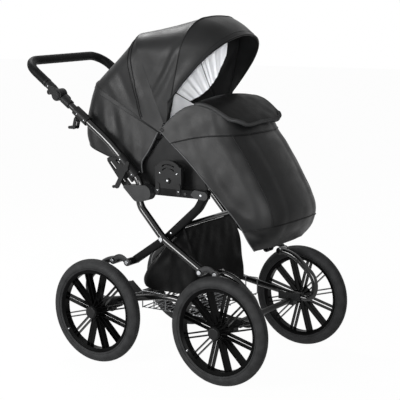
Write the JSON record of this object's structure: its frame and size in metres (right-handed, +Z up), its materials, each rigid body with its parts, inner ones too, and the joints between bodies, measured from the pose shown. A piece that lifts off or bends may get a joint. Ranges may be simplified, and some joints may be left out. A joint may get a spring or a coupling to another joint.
{
  "type": "pram",
  "caption": "Pram with a reclined seat unit, folding hood and leg apron on a sprung crossed-leg chassis with large spoked wheels and a folding telescopic handle.",
  "frame": {"origin": "floor under the middle of the pram's length and width", "axes": "+X forward, +Y to the pram's left, +Z up"},
  "size_m": [1.037, 0.617, 1.1725],
  "materials": {
    "gloss_black_tube": "gloss black enamel",
    "satin_black_metal": "satin black enamel",
    "bright_steel": "bright domed rivets",
    "black_plastic": "fine grained moulding",
    "gloss_black_plastic": "glossy moulded wheel",
    "tyre_rubber": "smooth dark grey rubber with fine tread lines",
    "strap_leather": "thick stitched strap",
    "leatherette": "soft black leatherette with piping",
    "grip_leather": "stitched leatherette grip",
    "cushion_fabric": "padded dark lining",
    "bag_fabric": "coated dark grey cloth"
  },
  "bodies": {
    "base": {"base_rails": "gloss_black_tube", "front_axle": "satin_black_metal", "rear_axle": "satin_black_metal", "axle_brackets": "black_plastic", "wire_tray": "satin_black_metal", "suspension_straps": "strap_leather", "strap_rivets": "bright_steel", "basket_bag": "bag_fabric"},
    "brake": {"brake_bar": "satin_black_metal"},
    "cross_pivots": {"cross_axle": "bright_steel"},
    "outer_frame": {"outer_legs": "gloss_black_tube", "lock_housings": "black_plastic", "lock_brackets": "black_plastic", "handle_clamps": "black_plastic", "foot_rivets": "bright_steel"},
    "right_lock_lever": {"lock_lever_right": "black_plastic"},
    "left_lock_lever": {"lock_lever_left": "black_plastic"},
    "right_clamp_lever": {"clamp_lever_right": "black_plastic"},
    "left_clamp_lever": {"clamp_lever_left": "black_plastic"},
    "inner_frame": {"inner_legs": "gloss_black_tube", "rear_foot_rivets": "bright_steel"},
    "rails": {"seat_rails": "gloss_black_tube", "seat_plates": "black_plastic", "rail_ends": "black_plastic"},
    "telescope": {"inner_tubes": "gloss_black_tube", "knuckle_bases": "black_plastic"},
    "handle": {"handle_tube": "black_plastic", "handle_grip": "grip_leather"},
    "right_button": {"button_right": "black_plastic"},
    "left_button": {"button_left": "black_plastic"},
    "seat": {"seat_frame": "satin_black_metal", "seat_board": "black_plastic", "seat_pad": "cushion_fabric", "back_cover": "leatherette", "footrest": "black_plastic", "seat_sides": "leatherette", "bumper_bar": "grip_leather", "hood_pivots": "black_plastic", "hood_bow_rear": "black_plastic", "hood_panel_rear": "leatherette", "leg_apron": "leatherette", "apron_flap": "leatherette"},
    "backrest": {"backrest": "black_plastic", "back_pad": "cushion_fabric"},
    "hood_mid": {"hood_bow_mid": "black_plastic", "hood_panel_front": "leatherette"},
    "hood_front": {"hood_bow_front": "black_plastic", "hood_visor": "leatherette"},
    "wheel_front_right": {"tyre_front_right": "tyre_rubber", "rim_front_right": "gloss_black_plastic", "hub_set_front_right": "black_plastic"},
    "wheel_front_left": {"tyre_front_left": "tyre_rubber", "rim_front_left": "gloss_black_plastic", "hub_set_front_left": "black_plastic"},
    "wheel_rear_right": {"tyre_rear_right": "tyre_rubber", "rim_rear_right": "gloss_black_plastic", "hub_set_rear_right": "black_plastic"},
    "wheel_rear_left": {"tyre_rear_left": "tyre_rubber", "rim_rear_left": "gloss_black_plastic", "hub_set_rear_left": "black_plastic"}
  },
  "joints": [
    {"name": "spin_front_right", "type": "hinge", "parent": "base", "child": "wheel_front_right", "pos_m": [0.33846, -0.2705, 0.18], "axis": [0, 1, 0], "continuous": true},
    {"name": "spin_front_left", "type": "hinge", "parent": "base", "child": "wheel_front_left", "pos_m": [0.33846, 0.2705, 0.18], "axis": [0, 1, 0], "continuous": true},
    {"name": "spin_rear_right", "type": "hinge", "parent": "base", "child": "wheel_rear_right", "pos_m": [-0.16154, -0.2705, 0.18], "axis": [0, 1, 0], "continuous": true},
    {"name": "spin_rear_left", "type": "hinge", "parent": "base", "child": "wheel_rear_left", "pos_m": [-0.16154, 0.2705, 0.18], "axis": [0, 1, 0], "continuous": true},
    {"name": "brake_tilt", "type": "hinge", "parent": "base", "child": "brake", "pos_m": [-0.19754, 0, 0.166], "axis": [0, -1, 0], "range_deg": [0, 20]},
    {"name": "cross_drop", "type": "slide", "parent": "base", "child": "cross_pivots", "axis": [0, 0, -1], "range_m": [0, 0.095]},
    {"name": "frame_fold", "type": "hinge", "parent": "cross_pivots", "child": "outer_frame", "pos_m": [0.08146, 0, 0.446], "axis": [0, -1, 0], "range_deg": [0, 31.2], "deforming": ["suspension_straps", "basket_bag"]},
    {"name": "inner_fold", "type": "hinge", "parent": "cross_pivots", "child": "inner_frame", "pos_m": [0.08146, 0, 0.446], "axis": [0, 1, 0], "range_deg": [0, 31.5]},
    {"name": "rail_level", "type": "hinge", "parent": "inner_frame", "child": "rails", "pos_m": [0.23646, 0, 0.604], "axis": [0, -1, 0], "range_deg": [0, 31.5]},
    {"name": "seat_lift", "type": "slide", "parent": "rails", "child": "seat", "axis": [0, 0, 1], "range_m": [0, 0.46]},
    {"name": "right_lock_pull", "type": "hinge", "parent": "outer_frame", "child": "right_lock_lever", "pos_m": [-0.05356, 0, 0.67575], "axis": [0, 1, 0], "range_deg": [0, 30], "stiffness_Nm_per_rad": 1.5},
    {"name": "right_clamp_open", "type": "hinge", "parent": "outer_frame", "child": "right_clamp_lever", "pos_m": [-0.27279, 0, 0.8286], "axis": [0, -1, 0], "range_deg": [0, 60]},
    {"name": "left_lock_pull", "type": "hinge", "parent": "outer_frame", "child": "left_lock_lever", "pos_m": [-0.05356, 0, 0.67575], "axis": [0, 1, 0], "range_deg": [0, 30], "stiffness_Nm_per_rad": 1.5},
    {"name": "left_clamp_open", "type": "hinge", "parent": "outer_frame", "child": "left_clamp_lever", "pos_m": [-0.27279, 0, 0.8286], "axis": [0, -1, 0], "range_deg": [0, 60]},
    {"name": "handle_extend", "type": "slide", "parent": "outer_frame", "child": "telescope", "axis": [-0.8141, 0, 0.5807], "range_m": [-0.025, 0.06]},
    {"name": "handle_tilt", "type": "hinge", "parent": "telescope", "child": "handle", "pos_m": [-0.34875, 0, 0.90981], "axis": [0, -1, 0], "range_deg": [-50, 75]},
    {"name": "right_button_press", "type": "slide", "parent": "handle", "child": "right_button", "axis": [0, 1, 0], "range_m": [0, 0.004], "stiffness_N_per_m": 400},
    {"name": "left_button_press", "type": "slide", "parent": "handle", "child": "left_button", "axis": [0, -1, 0], "range_m": [0, 0.004], "stiffness_N_per_m": 400},
    {"name": "backrest_recline", "type": "hinge", "parent": "seat", "child": "backrest", "pos_m": [-0.00954, 0, 0.6665], "axis": [0, 1, 0], "range_deg": [0, 45]},
    {"name": "hood_fold", "type": "hinge", "parent": "seat", "child": "hood_mid", "pos_m": [0.07846, 0, 0.806], "axis": [0, -1, 0], "range_deg": [0, 36], "deforming": ["hood_panel_rear", "hood_panel_front"]},
    {"name": "hood_front_fold", "type": "hinge", "parent": "hood_mid", "child": "hood_front", "pos_m": [0.07846, 0, 0.806], "axis": [0, -1, 0], "range_deg": [0, 31]}
  ],
  "couplings": [
    {"joint": "cross_drop", "follows": "frame_fold", "m_per_rad": 0.17262},
    {"joint": "inner_fold", "follows": "frame_fold", "ratio": 1},
    {"joint": "rail_level", "follows": "frame_fold", "ratio": 1},
    {"joint": "seat_lift", "follows": "frame_fold", "m_per_rad": 0.82638},
    {"joint": "hood_front_fold", "follows": "hood_fold", "ratio": 0.85}
  ]
}
